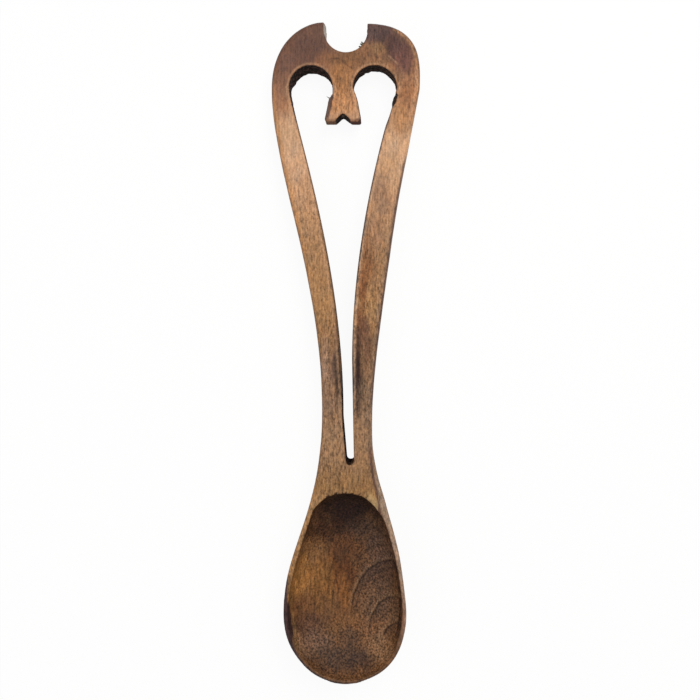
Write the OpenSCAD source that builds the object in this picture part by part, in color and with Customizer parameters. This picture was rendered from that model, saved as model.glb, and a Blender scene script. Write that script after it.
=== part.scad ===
// Carved wooden love spoon with a heart-shaped open handle.
// It lies on its back: +Y points to the head, +Z is the carved front, and the table is at z = 0.

/* [Overall] */
// Length from the bowl's tip to the top of the head
spoon_len = 286.5; // [260:0.5:320]
// Height of the front face over the table at the bowl's tip
rim_z = 20; // [17:0.5:24]
// Thickness of the head
head_t = 11; // [8:0.5:14]
// How far the back of the arms rises off the table half-way along
arm_lift = 1.5; // [0.5:0.1:3]
// Rounding of the outer long edges
edge_r = 2.2; // [1:0.1:3]

/* [Head] */
// From the middle line to the left side of the head
head_left = 32.4; // [29:0.1:36]
// From the middle line to the right side of the head
head_right = 32.3; // [29:0.1:36]
// Diameter of each arch, one 3/4 inch bit
arch_d = 19; // [15:0.5:21]
// Distance between the centres of the two arches
arch_gap = 28; // [26:0.5:31]
// Sideways place of the middle of the pair of arches
arch_x = -1.3; // [-2:0.1:2]
// Level of the arch centres below the top
arch_drop = 28.7; // [26:0.1:34]
// Diameter of the hanging notch in the top
notch_d = 19; // [14:0.5:20]
// Depth of the hanging notch
notch_depth = 13.2; // [10:0.1:15]
// Sideways place of the notch
notch_x = 0; // [-1:0.1:1]
// How much lower the right horn ends than the left one
horn_step = 0.7; // [0:0.1:2]
// Reach of the left lobe's curve along the top
left_lobe_top = 12; // [10:0.5:16]
// Reach of the left lobe's curve down its side
left_lobe_side = 16.2; // [10:0.1:20]
// Reach of the right lobe's curve along the top
right_lobe_top = 25.5; // [18:0.5:27]
// Reach of the right lobe's curve down its side
right_lobe_side = 7.5; // [5:0.1:16]

/* [Tail] */
// Width across the two feet of the tail
tail_w = 16; // [13:0.5:18]
// Length of the tail below the arch centres
tail_len = 14.5; // [10:0.5:18]
// Straight part of the tail before it flares
tail_straight = 3; // [1:0.5:6]
// Step out of the tail's left side, where the arch's cut ends
tail_step = 1.7; // [0.5:0.1:2.5]
// Width of the V cut between the feet
cut_w = 6.4; // [3:0.1:8]
// Depth of the V cut
cut_depth = 2.5; // [1.5:0.1:5]

/* [Arms] */
// Reach of the left arm's outer curve below the head
left_out_top = 35.6; // [20:0.1:45]
// Reach of the left arm's outer curve above the waist
left_out_low = 57.8; // [40:0.1:70]
// Reach of the right arm's outer curve below the head
right_out_top = 2.5; // [1:0.1:30]
// Reach of the right arm's outer curve above the waist
right_out_low = 35; // [25:0.1:60]
// Reach of the left arm's inner curve below the arch
left_in_top = 11; // [2:0.1:20]
// Reach of the left arm's inner curve above the slit
left_in_low = 70; // [50:0.1:80]
// Reach of the right arm's inner curve below the arch
right_in_top = 2.5; // [1:0.1:12]
// Reach of the right arm's inner curve above the slit
right_in_low = 63; // [45:0.1:70]
// Rounding of the arms' inner edges
inner_edge_r = 0.8; // [0.3:0.1:1.5]

/* [Slit and neck] */
// Width of the slit between the arms
slit_w = 4.1; // [3:0.1:6]
// Sideways place of the slit and of the neck
neck_x = 0.8; // [-2:0.1:2]
// End of the slit above the bowl's tip
slit_up = 93.2; // [90:0.1:98]
// Width of the slit's round foot
foot_w = 3.4; // [2.6:0.1:4]
// How far the slit leans to the right at its foot
slit_lean = 1.2; // [0:0.1:2]
// Straight length of the slit's left side
slit_left_len = 20; // [15:0.5:30]
// Straight length of the slit's right side
slit_right_len = 45; // [30:0.5:55]
// Width of the neck at its waist
neck_w = 21.5; // [18:0.1:26]
// Waist of the neck above the bowl's tip
waist_up = 116.2; // [108:0.1:125]
// Length of slit that the neck itself holds
fork_len = 12; // [8:0.5:14]

/* [Bowl] */
// Width of the bowl
bowl_w = 52.7; // [46:0.1:60]
// Widest level of the bowl above its tip
bowl_round = 30; // [25:0.5:34]
// Reach of the left shoulder's curve below the waist
left_shoulder_top = 45.6; // [35:0.1:50]
// Reach of the left shoulder's curve above the widest level
left_shoulder_low = 28; // [20:0.1:35]
// Reach of the right shoulder's curve below the waist
right_shoulder_top = 39; // [30:0.1:48]
// Reach of the right shoulder's curve above the widest level
right_shoulder_low = 33; // [20:0.1:35]
// Width of the flat rim beside the hollow
rim_w = 1.7; // [1.2:0.1:3]
// Rounding of the rim's outer edge
rim_r = 0.9; // [0.4:0.1:1.1]
// Depth of the hollow below the rim
hollow_depth = 14; // [10:0.1:15]
// Upper edge of the hollow above the bowl's tip
hollow_up = 80.6; // [74:0.1:84]
// Wood between the hollow's upper edge and the neck
collar = 3.6; // [2:0.1:5]
// Reach of the hollow's curve across its upper edge
hollow_top_reach = 15; // [10:0.5:17]
// Reach of the hollow's curve up from its widest level
hollow_side_reach = 29; // [20:0.5:32]
// Lowest point of the belly above the bowl's tip
belly_up = 38; // [32:0.5:44]
// Thickness of the bowl's edge at the tip
tip_t = 3; // [2:0.1:5]
// Wear that flattens the belly where it stands
belly_flat = 0.25; // [0.1:0.05:0.5]

/* [Hidden] */
$fn = 96;

golden = [0.60, 0.43, 0.26];
honey = [0.64, 0.46, 0.28];
umber = [0.42, 0.30, 0.22];
walnut = [0.50, 0.36, 0.24];

// Levels along the spoon
top_y = spoon_len / 2;
tip_y = -spoon_len / 2;
arch_y = top_y - arch_drop;
tail_y = arch_y - tail_len;
waist_y = tip_y + waist_up;
slit_y = tip_y + slit_up;
fork_y = slit_y + fork_len;
hollow_y = tip_y + hollow_up;
bowl_y = hollow_y + collar;
wide_y = tip_y + bowl_round;
belly_y = tip_y + belly_up;
hollow_end_y = tip_y + rim_w;

arch_r = arch_d / 2;
notch_r = notch_d / 2;
notch_y = top_y - notch_depth + notch_r;
left_arch_x = arch_x - arch_gap / 2;
right_arch_x = arch_x + arch_gap / 2;
bowl_half = bowl_w / 2;
slit_left = neck_x - slit_w / 2;
slit_right = neck_x + slit_w / 2;
slit_left_y = slit_y + slit_left_len;
slit_right_y = slit_y + slit_right_len;
foot_x = neck_x + slit_lean;
foot_y = slit_y + foot_w / 2;
hollow_half = bowl_half - rim_w - 0.3;

// Handle of a cubic curve that stands for a quarter of an ellipse
quarter = 0.5523;
// Share of the bowl's side and depth that its round underside takes
full_round = 0.93;
// Fullness of the hollow's sections, where 2 is an ellipse
hollow_power = 2.3;
// Half-width of the straight stretches at both ends of the hollow and at the tip
end_half = 2;

arm_steps = 22;
neck_steps = 6;
bowl_steps = 30;
lobe_steps = 14;
corner_steps = 3;
belly_steps = 7;
hollow_steps = 18;
over = 1;

// Point of a cubic curve with four control points
function cubic(c, t) =
    pow(1 - t, 3) * c[0] + 3 * pow(1 - t, 2) * t * c[1]
    + 3 * (1 - t) * t * t * c[2] + pow(t, 3) * c[3];

// Parameter at which a curve that runs down the spoon reaches a level
function level_t(c, y, low = 0, high = 1, n = 22) =
    n == 0 ? (low + high) / 2
    : cubic(c, (low + high) / 2)[1] > y ? level_t(c, y, (low + high) / 2, high, n - 1)
    : level_t(c, y, low, (low + high) / 2, n - 1);

function x_at(c, y) = cubic(c, level_t(c, y))[0];

// Curve between two upright stretches, with a reach at each end
function upright(x0, y0, reach0, x1, y1, reach1) =
    [[x0, y0], [x0, y0 - reach0], [x1, y1 + reach1], [x1, y1]];

left_arm_out = upright(-head_left, arch_y, left_out_top, neck_x - neck_w / 2, waist_y, left_out_low);
right_arm_out = upright(head_right, arch_y, right_out_top, neck_x + neck_w / 2, waist_y, right_out_low);
left_arm_in =
    upright(left_arch_x - arch_r, arch_y, left_in_top, slit_left, slit_left_y, left_in_low);
right_arm_in =
    upright(right_arch_x + arch_r, arch_y, right_in_top, slit_right, slit_right_y, right_in_low);
left_shoulder =
    upright(neck_x - neck_w / 2, waist_y, left_shoulder_top, -bowl_half, wide_y, left_shoulder_low);
right_shoulder =
    upright(neck_x + neck_w / 2, waist_y, right_shoulder_top, bowl_half, wide_y, right_shoulder_low);

// Quarter of the bowl's round end, from its widest level to the tip
function round_end(half, from_y, to_y) = [
    [half, from_y],
    [half, from_y - quarter * (from_y - to_y)],
    [quarter * half, to_y],
    [0, to_y]
];

// Outer edge on either side at any level below the arches
function left_x(y) =
    y > waist_y ? x_at(left_arm_out, y)
    : y > wide_y ? x_at(left_shoulder, y)
    : -max(end_half, x_at(round_end(bowl_half, wide_y, tip_y), y));
function right_x(y) =
    y > waist_y ? x_at(right_arm_out, y)
    : y > wide_y ? x_at(right_shoulder, y)
    : max(end_half, x_at(round_end(bowl_half, wide_y, tip_y), y));

// Sides of the slit, straight lines that lean and narrow towards its foot
function left_slit_x(y) =
    slit_left + (foot_x - foot_w / 2 - slit_left) * (slit_left_y - y) / (slit_left_y - foot_y);
function right_slit_x(y) =
    slit_right + (foot_x + foot_w / 2 - slit_right) * (slit_right_y - y) / (slit_right_y - foot_y);

// Inner edge of each arm, which runs on as a side of the slit
function left_in_x(y) = y > slit_left_y ? x_at(left_arm_in, y) : left_slit_x(y);
function right_in_x(y) = y > slit_right_y ? x_at(right_arm_in, y) : right_slit_x(y);

// The front is one flat board face that falls from the rim to the head
function front(y) = head_t + (rim_z - head_t) * (top_y - y) / spoon_len;

// The back rests on the table at the head and the belly and rises between them
function back(y) =
    y > tail_y ? 0
    : y > belly_y ? arm_lift * sin(180 * (tail_y - y) / (tail_y - belly_y))
    : (front(tip_y) - tip_t) * (1 - sqrt(1 - pow((belly_y - y) / (belly_y - tip_y), 2)));

function ease(t) = let (u = max(0, min(1, t))) u * u * (3 - 2 * u);

// Roundness of the underside, from a squared handle to a round bowl
function roundness(y) = ease((fork_y - y) / (fork_y - belly_y));

function arc(cx, cz, rx, rz, from, to, steps) = [
    for (i = [0:steps])
        let (a = from + (to - from) * i / steps)
        [cx + rx * cos(a), cz + rz * sin(a)]
];

// Closed section of a bar at one level, as x and z, with its own rounding at every corner
function bar(y, xl, xr, top_l, top_r, low_l, low_r, low_z, steps) =
    let (zt = front(y), zb = back(y))
    concat(
        arc(xl + top_l, zt - top_l, top_l, top_l, 90, 180, corner_steps),
        arc(xl + low_l, zb + low_z[0], low_l, low_z[0], 180, 270, steps),
        arc(xr - low_r, zb + low_z[1], low_r, low_z[1], 270, 360, steps),
        arc(xr - top_r, zt - top_r, top_r, top_r, 0, 90, corner_steps)
    );

function at_level(ring, y) = [for (p = ring) [p[0], y, p[1]]];

function middle(ring) = [for (k = [0:2]) (min([for (p = ring) p[k]]) + max([for (p = ring) p[k]])) / 2];

// Solid through a row of closed rings that all have the same number of points
module loft(rings, front_cap, back_cap) {
    m = len(rings[0]);
    n = len(rings);
    sides = [
        for (i = [0:n - 2], j = [0:m - 1], half = [0:1])
            let (a = i * m + j, b = i * m + (j + 1) % m)
            half == 0 ? [a, b, b + m] : [a, b + m, a + m]
    ];
    caps = [
        for (j = [0:m - 1], end = [0:1])
            let (k = (j + 1) % m)
            end == 0 ? [n * m, k, j] : [n * m + 1, (n - 1) * m + j, (n - 1) * m + k]
    ];
    polyhedron(
        points = concat([for (r = rings) each r], [front_cap, back_cap]),
        faces = concat(sides, caps)
    );
}

// Everything between the table and the sloping front face
module board() {
    rotate([90, 0, 90])
        linear_extrude(height = 2 * (head_left + head_right), center = true)
            polygon([
                [tip_y, 0],
                [top_y + over, 0],
                [top_y + over, front(top_y + over)],
                [tip_y, front(tip_y)]
            ]);
}

module arch_cut(x) {
    translate([x, arch_y, -over])
        cylinder(d = arch_d, h = rim_z + 2 * over);
}

// Bowl

// Edge of the hollow on one side, side = 1 on the right and -1 on the left
function hollow_x(y, side) =
    let (
        start = side * end_half,
        upper = [
            [start, hollow_y],
            [side * hollow_top_reach, hollow_y],
            [side * hollow_half, wide_y + hollow_side_reach],
            [side * hollow_half, wide_y]
        ],
        lower = round_end(hollow_half, wide_y, hollow_end_y)
    )
    y >= hollow_y ? start
    : y > wide_y ? x_at(upper, y)
    : y > hollow_end_y ? side * max(end_half / 2, x_at(lower, y))
    : side * end_half / 2;

// Depth of the hollow at one level, steep at its upper edge
function hollow_z(y) =
    let (u = abs(y - (hollow_y + hollow_end_y) / 2) / ((hollow_y - hollow_end_y) / 2))
    u >= 1 ? 0 : hollow_depth * pow(1 - pow(u, 2.4), 0.55);

function hollow_line(y) = [
    for (i = [0:hollow_steps])
        let (
            a = 180 * i / hollow_steps,
            side = a < 90 ? 1 : -1,
            reach = side * pow(abs(cos(a)), 2 / hollow_power),
            x = reach * abs(hollow_x(y, side))
        )
        [x, front(y) - hollow_z(y) * pow(abs(sin(a)), 2 / hollow_power)]
];

// Height of the wood at one level of the bowl
function depth(y) = front(y) - back(y);

// Corner sizes of the underside, which grow into a full round
function low_corner(half, y) = edge_r + (full_round * half - edge_r) * roundness(y);
function top_corner(y) = edge_r + (rim_r - edge_r) * roundness(y);

function bowl_section(y) =
    let (
        xl = left_x(y),
        xr = right_x(y),
        mid = (xl + xr) / 2,
        half = (xr - xl) / 2,
        corner = min(low_corner(half, y), full_round * half),
        top = min(top_corner(y), half / 3, depth(y) / 4),
        low = min(low_corner(depth(y), y), depth(y) - top - 0.2),
        outer = bar(y, xl, xr, top, top, corner, corner, [low, low], belly_steps),
        sunk = [for (p = outer) [p[0], max(0, p[1] - belly_flat * roundness(y) * (front(y) - p[1]) / depth(y))]]
    )
    sunk;

function bowl_levels() = concat(
    [bowl_y],
    [
        for (i = [0:bowl_steps])
            (hollow_y + hollow_end_y) / 2 + (hollow_y - hollow_end_y) / 2 * cos(180 * i / bowl_steps)
    ],
    [tip_y]
);

module bowl() {
    rings = [for (y = bowl_levels()) at_level(concat(bowl_section(y), hollow_line(y)), y)];
    color(umber)
        loft(rings, middle(rings[0]), middle(rings[len(rings) - 1]));
}

// Neck

module neck() {
    levels = [for (i = [0:neck_steps]) fork_y + (bowl_y - fork_y) * i / neck_steps];
    rings = [for (y = levels) at_level(bowl_section(y), y)];
    color(honey)
        difference() {
            loft(rings, middle(rings[0]), middle(rings[neck_steps]));
            translate([foot_x, foot_y, -over])
                cylinder(d = foot_w, h = rim_z + 2 * over);
            translate([0, 0, -over])
                linear_extrude(height = rim_z + 2 * over)
                    polygon([
                        [left_slit_x(fork_y + over), fork_y + over],
                        [foot_x - foot_w / 2, foot_y],
                        [foot_x + foot_w / 2, foot_y],
                        [right_slit_x(fork_y + over), fork_y + over]
                    ]);
        }
}

// Arms

function arm_levels() = [for (i = [0:arm_steps]) arch_y + (fork_y - arch_y) * i / arm_steps];

module left_arm() {
    rings = [
        for (y = arm_levels())
            at_level(
                bar(y, left_x(y), left_in_x(y), edge_r, inner_edge_r,
                    edge_r, inner_edge_r, [edge_r, inner_edge_r], corner_steps),
                y
            )
    ];
    color(walnut)
        loft(rings, middle(rings[0]), middle(rings[arm_steps]));
}

module right_arm() {
    rings = [
        for (y = arm_levels())
            at_level(
                bar(y, right_in_x(y), right_x(y), inner_edge_r, edge_r,
                    inner_edge_r, edge_r, [inner_edge_r, edge_r], corner_steps),
                y
            )
    ];
    color(golden)
        loft(rings, middle(rings[0]), middle(rings[arm_steps]));
}

// Lobes of the heart

left_lobe_out = [
    [notch_x - notch_r, top_y],
    [notch_x - notch_r - left_lobe_top, top_y],
    [-head_left, arch_y + left_lobe_side],
    [-head_left, arch_y]
];
right_lobe_out = [
    [notch_x + notch_r, top_y - horn_step],
    [notch_x + notch_r + right_lobe_top, top_y - horn_step],
    [head_right, arch_y + right_lobe_side],
    [head_right, arch_y]
];

// Parameter at which a lobe's curve stands straight above its arch
function above_t(c, x, low = 0, high = 1, n = 22) =
    n == 0 ? (low + high) / 2
    : abs(cubic(c, (low + high) / 2)[0]) < abs(x) ? above_t(c, x, (low + high) / 2, high, n - 1)
    : above_t(c, x, low, (low + high) / 2, n - 1);

// Section of a lobe, upright and radial to its arch, with its outer edges rounded
function lobe_section(c, arch, t) =
    let (
        out = cubic(c, t),
        reach = norm(out - arch),
        way = (out - arch) / reach,
        hidden = arch_r - over,
        profile = concat(
            [[hidden, 1, 0], [hidden, 0, 0]],
            [for (p = arc(reach - edge_r, edge_r, edge_r, edge_r, 270, 360, corner_steps)) [p[0], 0, p[1]]],
            [for (p = arc(reach - edge_r, -edge_r, edge_r, edge_r, 0, 90, corner_steps)) [p[0], 1, p[1]]]
        )
    )
    [
        for (p = profile)
            let (spot = arch + way * p[0])
            [spot[0], spot[1], p[1] * front(spot[1]) + p[2]]
    ];

module lobe(c, x) {
    arch = [x, arch_y];
    first = above_t(c, x);
    rings = [for (i = [0:lobe_steps]) lobe_section(c, arch, first + (1 - first) * i / lobe_steps)];
    difference() {
        loft(rings, middle(rings[0]), middle(rings[lobe_steps]));
        arch_cut(x);
    }
}

module left_heart_lobe() {
    color(umber)
        lobe(left_lobe_out, left_arch_x);
}

module right_heart_lobe() {
    color(walnut)
        lobe(right_lobe_out, right_arch_x);
}

// Crown with the hanging notch, between the two arch centres

function crown_edge(c, x) = [
    for (i = [0:lobe_steps])
        cubic(c, above_t(c, x) * i / lobe_steps)
];

module heart_crown() {
    left_top = crown_edge(left_lobe_out, left_arch_x);
    right_top = crown_edge(right_lobe_out, right_arch_x);
    color(golden)
        difference() {
            intersection() {
                linear_extrude(height = rim_z)
                    polygon(concat(
                        [for (i = [lobe_steps:-1:0]) left_top[i]],
                        right_top,
                        [[right_arch_x, arch_y], [left_arch_x, arch_y]]
                    ));
                board();
            }
            arch_cut(left_arch_x);
            arch_cut(right_arch_x);
            translate([notch_x, notch_y, -over])
                cylinder(d = notch_d, h = rim_z + 2 * over);
            translate([notch_x - notch_r, notch_y, -over])
                cube([notch_d, notch_r + over, rim_z + 2 * over]);
        }
}

// Tail

module forked_tail() {
    post = arch_gap / 2 - arch_r;
    color(honey)
        intersection() {
            linear_extrude(height = rim_z)
                polygon([
                    [arch_x - post, arch_y],
                    [arch_x - post, arch_y - tail_straight],
                    [arch_x - post - tail_step, arch_y - tail_straight - tail_step],
                    [arch_x - tail_w / 2, tail_y],
                    [arch_x - cut_w / 2, tail_y],
                    [arch_x, tail_y + cut_depth],
                    [arch_x + cut_w / 2, tail_y],
                    [arch_x + tail_w / 2, tail_y],
                    [arch_x + post, arch_y - tail_straight],
                    [arch_x + post, arch_y]
                ]);
            board();
        }
}

bowl();
neck();
left_arm();
right_arm();
left_heart_lobe();
right_heart_lobe();
heart_crown();
forked_tail();
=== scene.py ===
"""Carved love spoon: one continuous carved surface, split on the CAD seams, in stained and rubbed wood."""

import math

import bmesh
import bpy
import numpy as np
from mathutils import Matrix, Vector


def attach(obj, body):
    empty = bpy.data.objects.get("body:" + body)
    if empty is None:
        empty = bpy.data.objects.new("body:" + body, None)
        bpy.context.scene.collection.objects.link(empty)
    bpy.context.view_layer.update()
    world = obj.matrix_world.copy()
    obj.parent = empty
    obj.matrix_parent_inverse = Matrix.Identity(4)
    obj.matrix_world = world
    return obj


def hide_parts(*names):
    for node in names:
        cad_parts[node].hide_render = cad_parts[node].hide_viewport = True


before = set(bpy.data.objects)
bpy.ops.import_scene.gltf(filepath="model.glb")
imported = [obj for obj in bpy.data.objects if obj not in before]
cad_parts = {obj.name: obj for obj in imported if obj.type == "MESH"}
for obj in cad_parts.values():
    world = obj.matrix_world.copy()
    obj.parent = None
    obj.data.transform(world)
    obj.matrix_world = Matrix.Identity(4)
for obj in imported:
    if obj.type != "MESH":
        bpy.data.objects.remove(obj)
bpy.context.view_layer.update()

MM = 0.001

# The carved blank, in millimetres, as the CAD has it

SPOON_LEN = 286.5
RIM_Z = 20.0
HEAD_T = 11.0
ARM_LIFT = 1.5
EDGE_R = 2.2
INNER_R = 0.8

HEAD_LEFT = 32.4
HEAD_RIGHT = 32.3
ARCH_R = 9.5
ARCH_GAP = 28.0
ARCH_X = -1.3
ARCH_DROP = 28.7
NOTCH_R = 9.5
NOTCH_DEPTH = 13.2
NOTCH_X = 0.0
HORN_STEP = 0.7
LEFT_LOBE = (12.0, 16.2)
RIGHT_LOBE = (25.5, 7.5)

TAIL_W = 16.0
TAIL_LEN = 14.5
TAIL_STRAIGHT = 3.0
TAIL_STEP = 1.7
CUT_W = 6.4
CUT_DEPTH = 2.5
POST_HALF = ARCH_GAP / 2 - ARCH_R

LEFT_OUT = (35.6, 57.8)
RIGHT_OUT = (2.5, 35.0)
LEFT_IN = (11.0, 70.0)
RIGHT_IN = (2.5, 63.0)

SLIT_W = 4.1
FOOT_W = 3.4
SLIT_LEAN = 1.2
NECK_X = 0.8
SLIT_UP = 93.2
SLIT_LEFT_LEN = 20.0
SLIT_RIGHT_LEN = 45.0
NECK_W = 21.5
WAIST_UP = 116.2
FORK_LEN = 12.0

BOWL_W = 52.7
BOWL_ROUND = 30.0
LEFT_SHOULDER = (45.6, 28.0)
RIGHT_SHOULDER = (39.0, 33.0)
RIM_W = 1.7
RIM_R = 0.9
HOLLOW_DEPTH = 14.0
HOLLOW_UP = 80.6
COLLAR = 3.6
HOLLOW_TOP_REACH = 15.0
HOLLOW_SIDE_REACH = 29.0
BELLY_UP = 38.0
TIP_T = 3.0
TIP_RIM = 1.2
BELLY_FLAT = 0.25
HOLLOW_POWER = 2.3
LENGTH_POWER = 2.4
LENGTH_ROUND = 0.55
FULL_ROUND = 0.93
END_HALF = 2.0
QUARTER = 0.5523

TOP_Y = SPOON_LEN / 2
TIP_Y = -SPOON_LEN / 2
ARCH_Y = TOP_Y - ARCH_DROP
TAIL_Y = ARCH_Y - TAIL_LEN
WAIST_Y = TIP_Y + WAIST_UP
SLIT_Y = TIP_Y + SLIT_UP
FORK_Y = SLIT_Y + FORK_LEN
HOLLOW_Y = TIP_Y + HOLLOW_UP
BOWL_Y = HOLLOW_Y + COLLAR
WIDE_Y = TIP_Y + BOWL_ROUND
BELLY_Y = TIP_Y + BELLY_UP
HOLLOW_END_Y = TIP_Y + TIP_RIM
NOTCH_Y = TOP_Y - NOTCH_DEPTH + NOTCH_R
LEFT_ARCH_X = ARCH_X - ARCH_GAP / 2
RIGHT_ARCH_X = ARCH_X + ARCH_GAP / 2
SLIT_LEFT = NECK_X - SLIT_W / 2
SLIT_RIGHT = NECK_X + SLIT_W / 2
FOOT_X = NECK_X + SLIT_LEAN
FOOT_Y = SLIT_Y + FOOT_W / 2
HOLLOW_HALF = BOWL_W / 2 - RIM_W

# Small hand cuts along the outlines: level, reach along the spoon, millimetres taken away
LEFT_TOUCHES = [(134, 9, -0.4), (-126, 8, -0.25), (-143, 5, -0.3)]
RIGHT_TOUCHES = [
    (138, 12, -0.35), (62, 26, 0.6), (-46, 13, 1.0), (-58, 8, 0.35),
    (-76, 14, 0.5), (-100, 12, 0.7), (-134, 9, -0.95),
]
HOLLOW_LEFT_TOUCHES = [(-128, 9, -0.2)]
HOLLOW_RIGHT_TOUCHES = [(-100, 12, 0.1), (-134, 8, -1.15)]

# Guards against a division by nothing, and a distance beyond any on the spoon
TINY = 1e-9
FAR = 1e9

# Curves


def cubic(points, steps=60):
    """Points along a cubic curve with four control points."""
    a, b, c, d = (np.array(p, float) for p in points)
    t = np.linspace(0, 1, steps)[:, None]
    return (1 - t) ** 3 * a + 3 * (1 - t) ** 2 * t * b + 3 * (1 - t) * t * t * c + t ** 3 * d


def upright(x0, y0, x1, y1, reach):
    """Curve between two upright stretches, with a reach at each end."""
    return cubic([(x0, y0), (x0, y0 - reach[0]), (x1, y1 + reach[1]), (x1, y1)])


def round_end(half, from_y, to_y):
    """Quarter of a round end, from its widest level to its tip."""
    drop = QUARTER * (from_y - to_y)
    return cubic([(half, from_y), (half, from_y - drop), (QUARTER * half, to_y), (0, to_y)])


def arc(x, y, r, start, end, steps=60):
    """Points on a circle between two angles in degrees."""
    a = np.radians(np.linspace(start, end, steps))
    return np.stack([x + r * np.cos(a), y + r * np.sin(a)], axis=1)


def touched(side, touches, way):
    """Side curve after small hand cuts: a level, a reach along the spoon, and the millimetres taken away."""
    amount = sum(cut * np.exp(-((side[:, 1] - level) / reach) ** 2) for level, reach, cut in touches)
    ahead_x, ahead_y = np.gradient(side, axis=0).T
    across = np.stack([ahead_y, -ahead_x], axis=1) / (np.hypot(ahead_x, ahead_y) + TINY)[:, None]
    return side + way * amount[:, None] * across


def outer_side(way, head_x, top_y, lobe, out, shoulder, touches):
    """One side of the blank, down from the notch. way is -1 at the left, which keeps the tip, or 1."""
    horn_x, neck_x, bowl_x = NOTCH_X + way * NOTCH_R, NECK_X + way * NECK_W / 2, way * BOWL_W / 2
    side = np.vstack([
        cubic([
            (horn_x, top_y), (horn_x + way * lobe[0], top_y),
            (head_x, ARCH_Y + lobe[1]), (head_x, ARCH_Y),
        ]),
        upright(head_x, ARCH_Y, neck_x, WAIST_Y, out)[1:],
        upright(neck_x, WAIST_Y, bowl_x, WIDE_Y, shoulder)[1:],
        round_end(bowl_x, WIDE_Y, TIP_Y)[1:],
    ])
    return touched(side if way < 0 else side[:-1], touches, way)


def outer_outline():
    """Outline of the whole blank, closed across the notch."""
    right_top = TOP_Y - HORN_STEP
    left = outer_side(-1, -HEAD_LEFT, TOP_Y, LEFT_LOBE, LEFT_OUT, LEFT_SHOULDER, LEFT_TOUCHES)
    right = outer_side(1, HEAD_RIGHT, right_top, RIGHT_LOBE, RIGHT_OUT, RIGHT_SHOULDER, RIGHT_TOUCHES)
    return left, right, np.vstack([left, right[::-1]])


# Worn corners of the tail's feet: from the side and up from the end, at each of three points
FOOT_CORNER = ((0, 0.8), (0.3, 0.2), (0.9, 0))
CUT_TOP_HALF = 0.3
CUT_WEAR = 0.6


def heart_outline():
    """Outline of the open heart: both arches, the forked tail, the arms' inner edges and the slit."""
    left_in = upright(LEFT_ARCH_X - ARCH_R, ARCH_Y, SLIT_LEFT, SLIT_Y + SLIT_LEFT_LEN, LEFT_IN)
    right_in = upright(RIGHT_ARCH_X + ARCH_R, ARCH_Y, SLIT_RIGHT, SLIT_Y + SLIT_RIGHT_LEN, RIGHT_IN)
    tail_left, tail_right = ARCH_X - TAIL_W / 2, ARCH_X + TAIL_W / 2
    cut_top_y = TAIL_Y + CUT_DEPTH + 0.2
    tail = [
        (ARCH_X - POST_HALF, ARCH_Y - TAIL_STRAIGHT),
        (ARCH_X - POST_HALF - TAIL_STEP, ARCH_Y - TAIL_STRAIGHT - TAIL_STEP),
        *[(tail_left + side, TAIL_Y + up) for side, up in FOOT_CORNER],
        (ARCH_X - CUT_W / 2, TAIL_Y),
        (ARCH_X - CUT_TOP_HALF, cut_top_y),
        (ARCH_X + CUT_TOP_HALF, cut_top_y),
        (ARCH_X + CUT_W / 2 + CUT_WEAR, TAIL_Y),
        *[(tail_right - side, TAIL_Y + up) for side, up in FOOT_CORNER[::-1]],
        (ARCH_X + POST_HALF + 1.1, ARCH_Y - TAIL_STRAIGHT - 1),
        (ARCH_X + POST_HALF + 0.1, ARCH_Y - 0.5),
    ]
    return np.vstack([
        arc(LEFT_ARCH_X, ARCH_Y, ARCH_R, 180, 0),
        tail,
        arc(RIGHT_ARCH_X, ARCH_Y, ARCH_R, 180, 0),
        right_in[1:],
        arc(FOOT_X, FOOT_Y, FOOT_W / 2, 0, -180, 24),
        left_in[::-1][:-1],
    ])


def hollow_outline():
    """Outline of the hollow at the rim."""
    sides = []
    for side in (-1, 1):
        upper = cubic([
            (side * END_HALF, HOLLOW_Y), (side * HOLLOW_TOP_REACH, HOLLOW_Y),
            (side * HOLLOW_HALF, WIDE_Y + HOLLOW_SIDE_REACH), (side * HOLLOW_HALF, WIDE_Y),
        ])
        sides.append(np.vstack([upper, round_end(side * HOLLOW_HALF, WIDE_Y, HOLLOW_END_Y)[1:]]))
    left = touched(sides[0], HOLLOW_LEFT_TOUCHES, -1)
    right = touched(sides[1], HOLLOW_RIGHT_TOUCHES, 1)
    return left, right, np.vstack([left, right[::-1][1:-1]])


def from_stretch(px, py, ax, ay, bx, by):
    """Square of the distance from each point to a straight stretch."""
    ex, ey = bx - ax, by - ay
    t = np.clip(((px - ax) * ex + (py - ay) * ey) / (ex * ex + ey * ey), 0, 1)
    return (px - ax - t * ex) ** 2 + (py - ay - t * ey) ** 2


def signed_distance(outline, px, py):
    """Distance from each point to a closed outline, negative inside it."""
    best = np.full(px.shape, FAR)
    inside = np.zeros(px.shape, bool)
    following = np.roll(outline, -1, axis=0)
    for (ax, ay), (bx, by) in zip(outline, following):
        if math.hypot(bx - ax, by - ay) < TINY:
            continue
        best = np.minimum(best, from_stretch(px, py, ax, ay, bx, by))
        if by != ay:
            crosses = (ay > py) != (by > py)
            inside ^= crosses & (px < ax + (py - ay) / (by - ay) * (bx - ax))
    return np.where(inside, -1, 1) * np.sqrt(best)


def at_level(side, y):
    """Where a side curve, which runs down the spoon, stands at each level."""
    order = np.argsort(side[:, 1])
    return np.interp(y, side[order, 1], side[order, 0])


# Heights along the spoon


def front(y):
    """The front is one board face that falls from the rim to the head."""
    return HEAD_T + (RIM_Z - HEAD_T) * (TOP_Y - y) / SPOON_LEN


def back(y):
    """The back rests on the table at the head and at the belly, and rises between them."""
    rise = ARM_LIFT * np.sin(np.pi * np.clip((TAIL_Y - y) / (TAIL_Y - BELLY_Y), 0, 1))
    turn = np.clip((BELLY_Y - y) / (BELLY_Y - TIP_Y), 0, 1)
    return rise + (front(TIP_Y) - TIP_T) * (1 - np.sqrt(1 - turn ** 2))


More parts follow.
